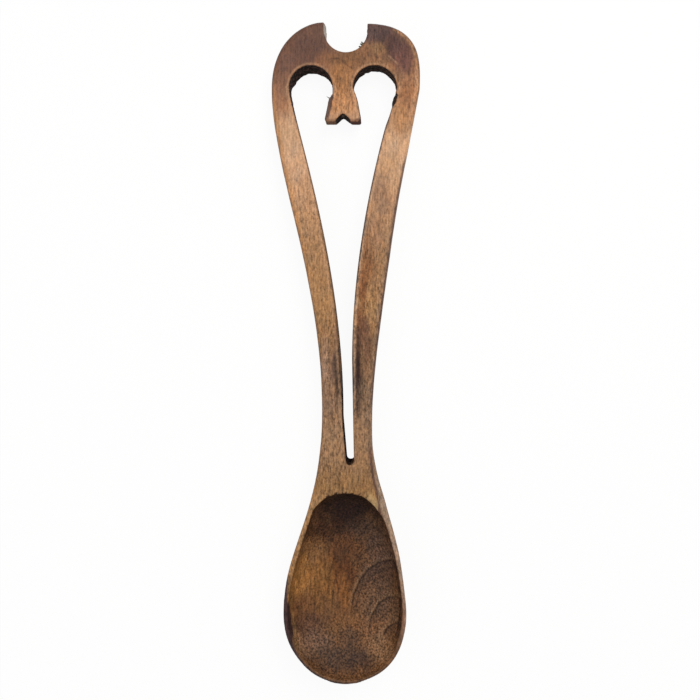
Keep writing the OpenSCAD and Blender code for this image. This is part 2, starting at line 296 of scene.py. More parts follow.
def ease(t):
    """Soft step from 0 to 1 while t goes from 0 to 1."""
    u = np.clip(t, 0, 1)
    return u * u * (3 - 2 * u)


def line(value, middle, width):
    """Soft line where a value passes its middle."""
    return np.exp(-((value - middle) / width) ** 2)


def roundness(y):
    """Roundness of the underside, from a squared handle to a round bowl."""
    return ease((FORK_Y - y) / (FORK_Y - BELLY_Y))


def hollow_depth(y):
    """Depth of the hollow along its middle: a full round that is flatter in the middle than an oval."""
    middle, half = (HOLLOW_Y + HOLLOW_END_Y) / 2, (HOLLOW_Y - HOLLOW_END_Y) / 2
    u = np.clip(np.abs(y - middle) / half, 0, 1)
    return HOLLOW_DEPTH * (1 - u ** LENGTH_POWER) ** LENGTH_ROUND


# Smooth random fields, the same on every run

# Waves in an octave, an octave's share of the one before, and the spread of the sum
WAVES = 5
OCTAVE_SHARE = 0.6
WAVE_SPREAD = 0.45


def wave_field(seed, px, py, pz, scale, octaves=3):
    """Sum of seeded plane waves, about -1 to 1, with the longest wave along x, y and z in millimetres."""
    rng = np.random.default_rng(seed)
    total = np.zeros(np.broadcast(px, py, pz).shape, np.float32)
    weight = 0.0
    for octave in range(octaves):
        share = OCTAVE_SHARE ** octave
        for _ in range(WAVES):
            way = rng.normal(size=3)
            way *= 2 * np.pi * 2 ** octave / np.linalg.norm(way) / np.array(scale)
            phase = rng.uniform(0, 2 * np.pi)
            total += np.sin(way[0] * px + way[1] * py + way[2] * pz + phase) * share
        weight += WAVES * share
    return total / (WAVE_SPREAD * weight)


# The carved solid as one distance field


def soft_max(a, b, r):
    """Intersection of two fields with a rounded edge of radius r."""
    rounded = np.hypot(np.maximum(a + r, 0), np.maximum(b + r, 0)) - r
    return np.where((a > -r) & (b > -r), rounded, np.maximum(a, b))


# Grid step, margin round the blank, and how far the carved skin stands outside the CAD's outline
STEP = 0.5
PAD = 2.0
SKIN = 0.28

# Least rounding of the bowl's lower edge, and rounding in the arches and round the hollow
TIP_EDGE_R = 0.05
ARCH_EDGE_R = 0.45
HOLLOW_EDGE_R = 0.35

# What was cut off the right arm's inner wall below the arch, and left on the right of the tail
ARM_TRIM = 0.5
TAIL_FILL = 0.45

# Width of the rim outside the hollow, at levels up the spoon
RIM_LEVELS = (TIP_Y, -128, -113, -98, -80)
RIM_LEFT = (0.9, 1.2, 1.6, 2.2, 2.0)
RIM_RIGHT = (0.9, 1.0, 1.3, 1.6, 2.0)

# Bulges that the saw left on the heart's walls: place, half widths, height
WALL_BULGES = [
    ((-24.0, 118.7, 1.5), (1.3, 1.1, 3.0), 1.1),
    ((21.6, 109.6, 3.5), (1.9, 2.2, 5.0), 1.0),
    ((-6.0, 121.5, 1.0), (1.2, 1.2, 2.5), 0.5),
]

# Depths of the cuts on those walls, and where a sliver broke off the right arm's inner wall
SAW_MARKS = 0.24
WALL_LEAN = 0.9
UNDERCUT = 0.9
SLIVER_CUT = 1.15
SLIVER_X = 17
SLIVER_TOP_Y = 112.2
SLIVER_END_Y = 105


def tail_side(x, y):
    """Distance to the right of the line down the left side of the tail, below its step."""
    step_y = ARCH_Y - TAIL_STRAIGHT - TAIL_STEP
    lean = (TAIL_W / 2 - POST_HALF - TAIL_STEP) / (step_y - TAIL_Y)
    return x - (ARCH_X - POST_HALF - TAIL_STEP - lean * (step_y - y))


def underside(px, y, z, left, right):
    """Distance to the sides and underside of the bowl and neck, which turn from squared to round."""
    x_left, x_right = at_level(left, y), at_level(right, y)
    middle, half = (x_left + x_right) / 2, np.maximum((x_right - x_left) / 2, 7)
    depth, share = front(y) - back(y), roundness(y)
    top_r = np.minimum(np.minimum(EDGE_R + (RIM_R - EDGE_R) * share, half / 3), depth / 4)
    side_r = np.minimum(EDGE_R + (FULL_ROUND * half - EDGE_R) * share, FULL_ROUND * half)
    rise_r = np.minimum(EDGE_R + (FULL_ROUND * depth - EDGE_R) * share, depth - top_r - 0.2)
    flat = BELLY_FLAT * share / depth
    raised = (z + flat * front(y)) / (1 + flat)
    across = np.maximum(np.abs(px - middle) - (half - side_r), 0) / side_r
    rise = np.maximum(back(y) + rise_r - raised, 0) / rise_r
    bulge = np.hypot(across, rise) - 1
    gx, gy, gz = np.gradient(bulge, STEP)
    return np.maximum(bulge / np.maximum(np.sqrt(gx * gx + gy * gy + gz * gz), 0.03), -z)


def rough_walls(px, py, ys, z):
    """What the saw left standing or cut too deep on the walls of the heart and the notch."""
    y = ys[None, :, None]
    deep = ease((front(y) - z - 1) / 8)
    head = ys > ARCH_Y - 10
    rough = np.zeros((*px.shape, z.size), np.float32)
    head_x, head_y = px[:, head, None], py[:, head, None]
    marks = wave_field(21, head_x, head_y, z, (2.6, 2.6, 5), 2)
    marks *= ease((front(y[:, head]) - z - 0.8) / 2.5) * ease((y[:, head] - ARCH_Y + 9) / 5)
    rough[:, head] = SAW_MARKS * marks
    for (bx, by, bz), (wide, tall, long), bulge in WALL_BULGES:
        near = ((head_x - bx) / wide) ** 2 + ((head_y - by) / tall) ** 2 + ((z - bz) / long) ** 2
        rough[:, head] -= bulge * np.exp(-near)
    over_left_arch = ease((py - ARCH_Y) / 6) * ease((LEFT_ARCH_X + 9 - px) / 5)
    rough -= WALL_LEAN * over_left_arch[..., None] * deep
    from_middle = np.abs(px - ARCH_X)
    under_feet = ease((TAIL_Y + 2.6 - py) / 1.2) * (py > TAIL_Y - 2) * (from_middle < TAIL_W / 2 + 2)
    under_feet *= ease((from_middle - CUT_W / 2 + 0.8) / 1.2) * ease((TAIL_W / 2 - 0.1 - from_middle) / 1.2)
    rough += (deep - UNDERCUT) * under_feet[..., None]
    sliver = (px > SLIVER_X) * ease(SLIVER_TOP_Y - py) * ease((py - SLIVER_END_Y) / 3)
    return rough + SLIVER_CUT * sliver[..., None] * (1 - ease((front(y) - z - 0.5) / 0.8))


def tail_bevel(px, py, y, z):
    """Distance to the worn bevel down the left side of the tail."""
    beside = tail_side(px, py)[..., None]
    fade = 4 * ease((y - ARCH_Y + TAIL_STRAIGHT + TAIL_STEP - 0.6) / 1.2) + 0.5 * ease((TAIL_Y + 4 - y) / 4)
    bevel = (z - front(y) + 2.2 - 1.2 * beside) / 1.56 - fade
    return np.where((beside > -2.5) & (y > TAIL_Y - 1), bevel, -FAR)


def build_field():
    """Distance to the carved surface on a grid, in millimetres, and the grid's first corner."""
    left, right, outer = outer_outline()
    xs = np.arange(-HEAD_LEFT - PAD, HEAD_RIGHT + PAD + STEP, STEP)
    ys = np.arange(TIP_Y - PAD, TOP_Y + PAD + STEP, STEP)
    zs = np.arange(-PAD, RIM_Z + PAD + STEP, STEP)
    px, py = np.meshgrid(xs, ys, indexing="ij")
    y, z = ys[None, :, None], zs[None, None, :]

    wobble = 0.05 * wave_field(3, px, py, 0, (14, 22, 20), 2) - SKIN
    d_out = signed_distance(outer, px, py) + wobble
    d_heart = -signed_distance(heart_outline(), px, py)
    d_heart = d_heart + ARM_TRIM * ease((px - 17) / 2) * line(py, 106, 10)
    d_heart = d_heart - TAIL_FILL * line(px, 5, 2.4) * line(py, 108, 5)
    d_notch = NOTCH_R - np.hypot(px - NOTCH_X, np.minimum(py - NOTCH_Y, 0))
    hollow_left, hollow_right, hollow_all = hollow_outline()
    rim_left, rim_right = np.interp(ys, RIM_LEVELS, RIM_LEFT), np.interp(ys, RIM_LEVELS, RIM_RIGHT)
    rim = np.where(px < 0, rim_left, rim_right)
    d_hollow = np.maximum(signed_distance(hollow_all, px, py), d_out + rim)

    # the blank, before its openings
    side = d_out[..., None]
    top = z - front(y)
    edge = EDGE_R + (RIM_R - EDGE_R) * roundness(y)
    handle_back = soft_max(side, back(y) - z, EDGE_R)
    tip_edge = TIP_EDGE_R + RIM_R * ease((TIP_Y + 5 - y) / 4)
    bowl_back = soft_max(side, underside(px[..., None], y, z, left, right) + wobble[..., None], tip_edge)
    body = np.maximum(soft_max(side, top, edge), np.where(y > FORK_Y, handle_back, bowl_back))

    # the heart and the notch, with their rough walls
    rough = rough_walls(px, py, ys, z)
    inner_r = ARCH_EDGE_R + (INNER_R - ARCH_EDGE_R) * ease((ARCH_Y - 4 - y) / 20)
    for opening in (d_heart, d_notch):
        wall = opening[..., None] + rough
        body = np.maximum(body, soft_max(wall, top, inner_r))
        body = np.maximum(body, soft_max(wall, back(y) - z, inner_r))

    body = np.maximum(body, tail_bevel(px, py, y, z))

    # the hollow
    h_left = np.minimum(-at_level(hollow_left, ys), -at_level(left, ys) - rim_left)
    h_right = np.minimum(at_level(hollow_right, ys), at_level(right, ys) - rim_right)
    reach = np.maximum(np.where(px < 0, h_left, h_right), 0.3)
    share = np.clip(np.abs(px) / reach, 0, 1)
    sink = hollow_depth(py) * (1 - share ** HOLLOW_POWER) ** (1 / HOLLOW_POWER)
    floor = front(py) - np.where(d_hollow < 0, sink, 0)
    gx, gy = np.gradient(floor, STEP)
    slope = np.sqrt(1 + np.minimum(gx * gx + gy * gy, 16))[..., None]
    cavity = np.maximum(d_hollow[..., None], (floor[..., None] - z) / slope)
    body = soft_max(body, -cavity, HOLLOW_EDGE_R)
    plans = {"outer": d_out, "heart": d_heart, "notch": d_notch, "hollow": d_hollow}
    return body, plans, (xs[0], ys[0], zs[0])


def surface_nets(field, corner):
    """Closed quad mesh through the grid's zero level, one vertex in each cell that the surface crosses."""
    solid = field < 0
    offsets = [(i, j, k) for i in (0, 1) for j in (0, 1) for k in (0, 1)]
    n = np.array(field.shape) - 1

    def shifted(grid, o):
        return grid[o[0]:o[0] + n[0], o[1]:o[1] + n[1], o[2]:o[2] + n[2]]

    count = sum(shifted(solid, o).astype(np.int8) for o in offsets)
    cells = np.argwhere((count > 0) & (count < 8))
    index = np.full(n, -1, np.int64)
    index[tuple(cells.T)] = np.arange(len(cells))
    total = np.zeros((len(cells), 3))
    hits = np.zeros(len(cells))
    for o in offsets:
        for axis in range(3):
            if o[axis]:
                continue
            far = list(o)
            far[axis] = 1
            a = field[tuple((cells + o).T)]
            b = field[tuple((cells + far).T)]
            cross = (a < 0) != (b < 0)
            t = np.where(cross, a / np.where(cross, a - b, 1), 0)
            point = np.array(o, float) + np.eye(3)[axis] * t[:, None]
            total += point * cross[:, None]
            hits += cross
    vertices = (cells + total / hits[:, None]) * STEP + np.array(corner)

    quads = []
    for axis in range(3):
        u, v = (axis + 1) % 3, (axis + 2) % 3
        near = [slice(1, size) for size in n]
        near[axis] = slice(0, n[axis])
        far = list(near)
        far[axis] = slice(1, n[axis] + 1)
        a, b = solid[tuple(near)], solid[tuple(far)]
        base = np.array([s.start for s in near])
        for flip, found in ((False, a & ~b), (True, ~a & b)):
            at = np.argwhere(found) + base
            ring = []
            for du, dv in ((1, 1), (0, 1), (0, 0), (1, 0)):
                cell = at.copy()
                cell[:, u] -= du
                cell[:, v] -= dv
                ring.append(index[tuple(cell.T)])
            ring = np.stack(ring, axis=1)
            quads.append(ring[:, ::-1] if flip else ring)
    return vertices, np.vstack(quads)


# How far a vertex moves back, as a share of its move
BACK_SHARE = 1.02


def relax(vertices, quads, rounds, amount):
    """Evens out the grid's steps: each vertex moves towards its neighbours' middle, then away from it."""
    pairs = np.vstack([quads[:, [k, (k + 1) % 4]] for k in range(4)])
    degree = np.bincount(pairs.ravel(), minlength=len(vertices))[:, None]
    for _ in range(rounds):
        for move in (amount, -amount * BACK_SHARE):
            near = np.zeros_like(vertices)
            for k in range(3):
                near[:, k] = np.bincount(pairs[:, 0], vertices[pairs[:, 1], k], len(vertices))
                near[:, k] += np.bincount(pairs[:, 1], vertices[pairs[:, 0], k], len(vertices))
            vertices = vertices + move * (near / degree - vertices)
    return vertices


# Sampling of plan fields at the surface's points


def sampler(grid, corner):
    """Function that reads a plan grid between its points."""
    def read(x, y):
        u = np.clip((x - corner[0]) / STEP, 0, grid.shape[0] - 1.001)
        v = np.clip((y - corner[1]) / STEP, 0, grid.shape[1] - 1.001)
        i, j = u.astype(int), v.astype(int)
        u, v = u - i, v - j
        low = grid[i, j] * (1 - u) + grid[i + 1, j] * u
        high = grid[i, j + 1] * (1 - u) + grid[i + 1, j + 1] * u
        return low * (1 - v) + high * v
    return read


def normals_of(vertices, quads):
    """Smooth normal at each vertex."""
    a, b, c, d = (vertices[quads[:, corner]] for corner in range(4))
    across = np.cross(c - a, d - b)
    total = np.zeros_like(vertices)
    for k in range(3):
        for corner in range(4):
            total[:, k] += np.bincount(quads[:, corner], across[:, k], len(vertices))
    lengths = np.linalg.norm(total, axis=1, keepdims=True)
    return total / np.maximum(lengths, TINY)


# Colours painted on the surface, worked out from where each point lies


def linear(colour):
    """Linear value of a display colour given in 0 to 255."""
    c = np.array(colour, float) / 255
    return np.where(c <= 0.04045, c / 12.92, ((c + 0.055) / 1.055) ** 2.4)


# Colour of the front face at levels down the spoon, in millimetres: level, colour. These are wood tones with
# painted light in them: the brightest ones, on the upper arms, hold a painted sheen and the light's falloff
FRONT_TONES_AND_LIGHT = [
    (143, (98, 70, 58)), (128, (126, 88, 60)), (118, (142, 100, 70)), (106, (170, 122, 88)),
    (95, (190, 150, 116)), (84, (198, 156, 122)), (66, (177, 134, 99)), (44, (158, 118, 82)),
    (20, (157, 116, 76)), (0, (138, 101, 69)), (-25, (140, 107, 80)), (-45, (147, 111, 80)),
    (-60, (141, 104, 67)), (-90, (143, 100, 62)), (-143, (118, 84, 56)),
]
HOLLOW_TONE = (104, 71, 45)
BACK_TONE = (132, 96, 66)
SIDE_TONE = (134, 98, 68)
CHAR_AND_SHADE_TONE = (20, 14, 14)
BURNT_TONE = (78, 56, 50)
DARKEST = 0.003

# Stains on the front face: x, y, half widths across and along, turn in degrees, colour, strength
FRONT_STAINS = [
    (-17, 131, 15, 12, 30, (93, 65, 55), 0.9),
    (-27, 121, 7, 12, 10, (108, 76, 62), 0.8),
    (-30, 110, 5, 9, 0, (134, 94, 72), 0.6),
    (-14, 139, 7, 3.5, 0, (104, 74, 60), 0.6),
    (-8.5, 126, 4.5, 4.5, 0, (140, 94, 62), 0.6),
    (14, 139, 10, 5, 0, (84, 62, 58), 0.95),
    (9.5, 139, 3, 5, 0, (84, 62, 58), 0.9),
    (22, 132, 9, 6.5, -40, (72, 48, 43), 0.98),
    (25.2, 127.2, 5.2, 7.5, 15, (102, 66, 57), 0.9),
    (14, 131.5, 4.4, 2.8, -10, (140, 103, 68), 0.7),
    (8, 130, 4, 3, -30, (122, 84, 58), 0.6),
    (1, 126.5, 9, 4, 0, (116, 79, 51), 0.8),
    (16, 124.5, 6, 2.5, -20, (140, 98, 66), 0.6),
    (27, 110, 5, 8, 0, (144, 96, 62), 0.85),
    (-1.5, 117, 5.5, 9, 0, (152, 104, 64), 0.85),
    (-1.5, 106, 6, 6, 0, (176, 124, 82), 0.85),
    (24, 100, 6, 9, 0, (166, 118, 78), 0.75),
    (19, 78, 6, 11, 0, (178, 137, 100), 0.6),
    (15.5, 67, 5.5, 10, 8, (146, 110, 84), 0.85),
    (12.5, 50, 5, 10, 8, (150, 111, 82), 0.85),
    (10, 38, 3.4, 11, 6, (126, 81, 49), 0.85),
    (13.8, 30, 2.2, 14, 6, (138, 102, 72), 0.6),
    (7.4, 26, 2.0, 10, 5, (116, 66, 34), 0.75),
    (6.4, 12, 2.4, 10, 3, (112, 68, 38), 0.85),
    (5.1, -7, 2.4, 15, 0, (44, 24, 20), 0.98),
    (5.9, -21, 2.0, 10, -4, (54, 34, 28), 0.85),
    (9.2, 2, 3, 15, 4, (100, 70, 54), 0.75),
    (8.3, -23, 3, 10, 0, (118, 92, 70), 0.75),
    (-4.9, -8, 2.1, 8, 0, (92, 70, 60), 0.8),
    (-3.1, -9, 1.8, 16, 0, (46, 32, 27), 0.95),
    (-3.9, 8, 1.2, 8, -3, (90, 62, 46), 0.75),
    (-8.6, -5, 2.4, 10, 0, (152, 119, 97), 0.75),
    (-7.5, -20, 3, 10, 0, (133, 102, 82), 0.5),
    (12.3, -66.5, 2.8, 5, 30, (178, 146, 102), 0.75),
    (-8, -36, 4, 8, 0, (154, 118, 86), 0.6),
    (8.5, -56, 3, 6, 0, (134, 98, 64), 0.5),
]

# Stains in the hollow, given in the same way; the near-black ones at its top are stain with painted shade on
# the steep upper wall under the neck
HOLLOW_STAINS_AND_SHADE = [
    # stain with painted shade on the upper wall under the neck
    (1, -69, 19, 13, 0, (40, 25, 20), 0.97),
    (-1, -75, 9, 8, 0, (42, 26, 20), 0.8),
    (-9, -81, 10, 7, 0, (58, 36, 24), 0.85),
    (11, -82, 11, 8, 0, (72, 52, 40), 0.85),
    (0, -90, 9, 7, 0, (88, 55, 34), 0.8),
    (17, -90, 8, 10, 0, (94, 69, 55), 0.85),
    (-17, -91, 8, 8, 0, (128, 90, 56), 0.85),
    (-21, -101, 7, 11, 0, (156, 108, 60), 0.9),
    (-11, -103, 7, 10, -8, (134, 91, 50), 0.85),
    (-1, -101, 6, 9, 0, (92, 54, 29), 0.85),
    (-0.5, -111, 3.5, 11, 14, (132, 84, 44), 0.85),
    (-7, -108, 2.5, 9, 8, (128, 86, 46), 0.6),
    (-12, -112, 2, 8, 4, (120, 82, 46), 0.6),
    (14, -101, 9, 8, 0, (80, 57, 44), 0.85),
    (15, -112, 10, 9, 0, (103, 75, 55), 0.85),
    (-20, -114, 6, 6, 0, (112, 74, 46), 0.85),
    (-17, -122, 8, 5, 10, (90, 62, 48), 0.7),
    (-15, -129, 9, 6, 0, (104, 78, 62), 0.75),
    (2, -123, 8, 5, 0, (118, 80, 48), 0.75),
    (12, -123, 7, 6, 30, (114, 79, 54), 0.7),
    (-1, -135.5, 14, 5, 0, (72, 52, 40), 0.85),
    (2, -128, 5, 5, 10, (76, 55, 42), 0.7),
    (7, -136, 6, 3.5, 0, (66, 47, 38), 0.6),
    (16, -131, 6, 7, 40, (128, 94, 66), 0.85),
    (-21.5, -127.5, 3, 8, 25, (134, 100, 72), 0.7),
]


# Stains on the back, which is browner under the bowl and on the head
BACK_STAINS = [
    (4, -108, 20, 26, 8, (104, 74, 52), 0.7),
    (-14, 128, 16, 14, 20, (110, 80, 62), 0.6),
    (-10, -85, 8, 22, 0, (150, 110, 74), 0.6),
]


def blob(x, y, at_x, at_y, half_x, half_y, turn, ragged):
    """Soft oval, 1 in its middle, with an uneven edge."""
    a = math.radians(turn)
    dx, dy = x - at_x, y - at_y
    u = (dx * math.cos(a) + dy * math.sin(a)) / half_x
    v = (dy * math.cos(a) - dx * math.sin(a)) / half_y
    return 1 - ease(np.hypot(u, v) + 0.22 * ragged - 0.35)


def mixed(colours, others, share):
    """Colours with a share of others over them."""
    return colours + (others - colours) * share[:, None]


def lay(colours, tone, mask):
    """Paints a tone over the colours by a mask."""
    return mixed(colours, linear(tone), np.broadcast_to(np.clip(mask, 0, 1), len(colours)))


def paint(colours, coats):
    """Lays coats over the colours one by one: each has a tone, a strength and a mask."""
    for tone, strength, mask in coats:
        colours = lay(colours, tone, strength * mask)
    return colours


def stain(colours, stains, x, y, ragged):
    """Lays stains over the colours, each an oval with its tone and strength."""
    for *oval, tone, strength in stains:
        colours = lay(colours, tone, strength * blob(x, y, *oval, ragged))
    return colours


def line_mask(x, y, path, width):
    """Thin line along a path, with soft edges."""
    best = np.full(x.shape, FAR)
    for (ax, ay), (bx, by) in zip(path[:-1], path[1:]):
        best = np.minimum(best, from_stretch(x, y, ax, ay, bx, by))
    return np.exp(-best / width ** 2)


def band(value, low, high, soft):
    """Soft mask of a range of values."""
    return ease((value - low) / soft + 0.5) * ease((high - value) / soft + 0.5)


# Growth rings: steps out from the middle one, and the ones that show as full dark lines
RINGS = (-0.03, 0.18, 0.39, 0.55, 0.76, 0.88, 1.0, 1.16, 1.3, 1.46, 1.62, 1.8)
MAIN_RINGS = (-0.03, 0.39, 1.0)
SIDE_RING = 0.4


def ring_lines(x, y, ragged):
    """Growth rings at the right of the hollow: lines, the darker wood inside each, and a lit edge."""
    dark, inner, lit = np.zeros(len(x)), np.zeros(len(x)), np.zeros(len(x))
    for t in RINGS:
        middle_x, middle_y = 26 - 3 * t, -130.6 + 10 * t
        half_x, half_y = 10.8 + 10.2 * t, 12.3 + 15.2 * t
        away = (np.hypot((x - middle_x) / half_x, (y - middle_y) / half_y) + 0.010 * ragged - 1) * half_x
        sector = ease((y - middle_y + 2) / 10) * ease((middle_x + 4 - x) / 4)
        main = t in MAIN_RINGS
        dark = np.maximum(dark, (1 if main else SIDE_RING) * sector * line(away, 0, 0.35))
        if main:
            inner = np.maximum(inner, sector * ease(-away / 0.8) * ease((away + 4) / 3))
            lit = np.maximum(lit, sector * line(away, 0.9, 0.5))
    return dark, inner, lit


# Scratches and knife lines, as points in millimetres
HOLLOW_SCRATCH = [(-9.5, -94.5), (-3.5, -86.0)]
KNIFE_LINE = [(-6.7, 126.9), (-3.4, 127.2), (-1.7, 126.1), (0.0, 124.6), (2.8, 122.6)]
LOBE_SCRATCH = [(18.9, 128.2), (22.7, 124.8)]
SCRATCH_SHADE = [(19.4, 128.8), (23.2, 125.3)]


def paint_hollow(colours, x, y, d_hollow, ragged, hairs):
    """Colours of the hollow, with a dotted line of painted shade just inside its right edge."""
    inside = stain(lay(colours, HOLLOW_TONE, 1), HOLLOW_STAINS_AND_SHADE, x, y, ragged)
    dark, inner, lit = ring_lines(x, y, ragged)
    # painted shade: a dotted dark line just inside the hollow's right edge, where its wall drops steeply
    dotted_shade = band(d_hollow, -1.3, -0.2, 0.4) * band(y, -126, -92, 6) * (x > 8) * ease(0.65 + 0.7 * hairs)
    return paint(inside, [
        ((72, 52, 42), 0.4, inner),
        ((132, 102, 76), 0.36, lit),
        ((40, 27, 21), 0.9, dark),
        ((42, 28, 27), 0.8, dotted_shade),
        ((122, 80, 50), 0.5, line_mask(x, y, HOLLOW_SCRATCH, 0.35) * (hairs > -0.2)),
    ])


# Dark line down the right of the neck and bowl: levels, and how far its outer side lies inside the outline
CRACK_LEVELS = (-98, -82, -70, -60, -42)
CRACK_OUT = (-1.2, -1.7, -2.5, -1.2, -0.5)


def paint_edges(colours, x, y, d_out, d_heart, facing, ragged, hairs):
    """Strips and lines that follow the edges of the front face: worn strips, a crack, a painted highlight on
    the left arm's outer edge and painted shade on the right arm's.
    """
    left, right = x < 0, x > 0
    arms = band(y, -62, 112, 12)
    strip = ease(d_out + 2.7 + 0.4 * ragged)
    golden = strip * ease((x - 20) / 3) * ease((y - 98) / 8) * ease(0.75 + 0.5 * hairs + 0.02 * (y - 110))
    edge_line = ease((d_out + 0.9 + 0.25 * hairs) / 0.6)
    painted_shade_line = ease((d_out + 1.25 + 0.3 * hairs) / 0.6)
    crack_out = np.interp(y, CRACK_LEVELS, CRACK_OUT)
    crack = band(d_out, crack_out - 1.0 + 0.3 * ragged, crack_out + 0.2 * hairs, 0.5) * band(y, -90, -42, 8)
    outside = ease((d_out - crack_out + 0.1) / 0.5) * band(y, -128, -56, 10)
    inner_line = line(d_heart, -1.2, 0.5) * facing * (y < ARCH_Y)
    arch_line = line(d_heart, -0.7, 0.5) * facing * (y > 101)
    thin_line = line(d_heart, -1.0, 0.32) * facing * right
    serrated = ease((d_heart + 0.7 + 0.25 * hairs) / 0.3) * (x > 4) * band(y, 20, 106, 8)
    return paint(colours, [
        # strips inside the outer edges: a pale orange one on the left arm, a painted highlight where light
        # falls on its rounded edge; a greyish one at the right, and golden ones at the upper right
        ((184, 133, 88), 0.65, strip * arms * left * ease((y - 5) / 40)),
        ((138, 108, 84), 0.7, strip * arms * right * ease((70 - y) / 14)),
        ((156, 114, 82), 0.8, golden * ease((d_out + 2.3) / 0.9)),
        ((180, 132, 96), 0.8, golden * ease((126 - y) / 6)),
        # dark lines along the outer edges; the right arm's line is painted shade on the side turned away
        # from the light
        ((86, 64, 58), 0.8, painted_shade_line * right * band(y, -25, 84, 10)),
        ((112, 78, 54), 0.5, edge_line * left * band(y, -62, 100, 10)),
        ((84, 60, 50), 0.6, edge_line * ease((y - 104) / 8)),
        ((84, 66, 62), 0.7, edge_line * band(x, 11, 23, 4) * ease((y - 124) / 6)),
        # crack, and the light strip outside it
        ((84, 58, 52), 0.85, crack * right),
        ((154, 132, 114), 0.75, outside * right),
        # pale lines along the inner edges and round the arches, and the right arm's rough edge
        ((184, 140, 106), 0.5, inner_line * ease((y + 20) / 20)),
        ((150, 118, 92), 0.5, inner_line * band(y, -46, 0, 10) * left),
        ((176, 132, 98), 0.6, arch_line),
        ((176, 148, 124), 0.5, thin_line * band(y, -25, 75, 12)),
        ((84, 66, 60), 0.75, serrated),
    ])


def paint_rim(colours, x, y, d_out, d_hollow, facing):
    """Thin rim of the bowl: golden at the left, light to reddish at the right, brown at the bottom."""
    rim = ease((d_hollow + 0.3) / 0.4) * ease((HOLLOW_Y + 2 - y) / 6) * facing
    return paint(colours, [
        ((160, 122, 84), 0.6, rim * (x < 0) * ease((y + 106) / 12)),
        ((150, 124, 105), 0.75, rim * (x > 0) * band(y, -112, -80, 8)),
        ((132, 96, 78), 0.75, rim * (x > 0) * band(y, -130, -108, 8)),
        ((100, 71, 50), 0.8, rim * ease((-118 - y) / 10)),
        ((70, 48, 38), 0.7, ease((-132 - y) / 5) * line(d_out, -0.85, 0.3)),
    ])


# Width of the dark band of painted shade down the lower left of the bowl, at levels up the spoon
SHADE_LEVELS = (-136, -128, -121, -113, -105, -97)
SHADE_WIDTHS = (1.1, 1.7, 3.2, 2.8, 1.7, 0.5)


def paint_shaded_side(colours, x, y, nz, d_out, hairs):
    """Dark purple band of painted shade down the lower left of the bowl, on the side turned away from the
    light, with a golden line inside it.
    """
    depth = d_out + np.interp(y, SHADE_LEVELS, SHADE_WIDTHS) + 0.25 * hairs
    side = ease((2 - x) / 6) * ease((-95 - y) / 6) * ease((nz + 0.2) / 0.3)
    return paint(colours, [
        ((128, 98, 62), 0.5, side * band(depth, -0.9, -0.1, 0.4) * ease((y + 132) / 6)),
        ((52, 38, 42), 0.9, side * ease(depth / 0.5)),
    ])


def paint_walls(colours, x, y, z, nx, ny, nz, d_heart, d_notch, grit):
    """Sawn walls: near-black in the arches and the slit, which is charring with painted shade in it; brown
    in the left arm and under the tail's feet.
    """
    beside, from_middle, deep = tail_side(x, y), x - ARCH_X, front(y) - z
    upright = ease((0.75 - np.abs(nz)) / 0.35)
    heart_wall = ease((d_heart + 0.6) / 0.3) * upright
    notch_wall = ease((d_notch + 0.9) / 0.3) * upright
    on_tail = (np.abs(from_middle) < TAIL_W / 2 + 0.6) & (y < ARCH_Y) & (y > TAIL_Y - 1)
    left_arm = (x < LEFT_ARCH_X + 14) & ~on_tail & (nx > 0.2)
    right_arm = (x > 2) & ~on_tail & (nx < -0.2)
    # near-black on the walls: charring, darkened with painted shade where the walls turn away from the light
    char_and_shade = np.where(left_arm, 1 - band(y, -13, 101, 7), 1.0)
    char_and_shade = np.where(right_arm, 0.35 + 0.6 * ease((y - 10) / 25), char_and_shade)
    burnt_and_shaded = lay(np.tile(linear(CHAR_AND_SHADE_TONE), (len(x), 1)), BURNT_TONE, ease(0.24 + 0.9 * grit))
    colours = lay(colours, (128, 96, 70), 0.8 * heart_wall * left_arm)
    colours = mixed(colours, burnt_and_shaded, 0.97 * heart_wall * char_and_shade)

    near_end = on_tail & (y < TAIL_Y + 3.4)
    feet = ease((-ny - 0.3) / 0.3) * near_end * upright
    rounded = on_tail * ease((TAIL_Y + 1.0 - y) / 1.2) * ease((nz - 0.3) / 0.3)
    ledge = (x > SLIVER_X) * band(y, 104.5, 112.4, 1.0) * ease((d_heart + 1.8) / 0.4)
    cut = near_end & (np.abs(from_middle) < CUT_W / 2 - 0.2)
    bevel = (beside < 2.1) * on_tail * (x < ARCH_X) * ease((nz - 0.1) / 0.2)
    bevel = bevel * band(y, TAIL_Y + 0.6, ARCH_Y - TAIL_STRAIGHT - 0.4, 1.4)
    return paint(colours, [
        # under the feet of the tail, and their rounded ends
        ((116, 82, 60), 1, feet * (from_middle < -CUT_W / 2)),
        ((82, 42, 32), 1, feet * (from_middle > CUT_W / 2)),
        ((112, 76, 56), 0.7, rounded),
        # broken sliver of the right arm
        ((24, 18, 18), 0.95, ledge * ease((deep - 0.25) / 0.3)),
        # V cut between the feet
        ((26, 18, 17), 0.95, upright * cut),
        ((140, 124, 110), 0.6, line(from_middle, -0.1, 0.35) * cut * band(z, 5, 9.5, 1)),
        ((58, 42, 46), 0.85, on_tail * upright * (y < TAIL_Y + 2) * ease((1.6 - z) / 0.8)),
        # worn bevel on the left of the tail, and a dark line of painted shadow along its inner edge
        ((104, 84, 79), 0.85, bevel * ease((2.1 - beside) / 0.5)),
        ((70, 50, 48), 0.8, bevel * line(beside, 1.9, 0.4) * ease((y - 103) / 4)),
        # the notch: light and worn at the upper left, brown elsewhere
        ((74, 54, 44), 0.6, notch_wall),
        ((182, 168, 156), 0.85, notch_wall * (nx > 0.5) * ease((y - 136.5) / 1.5)),
    ])


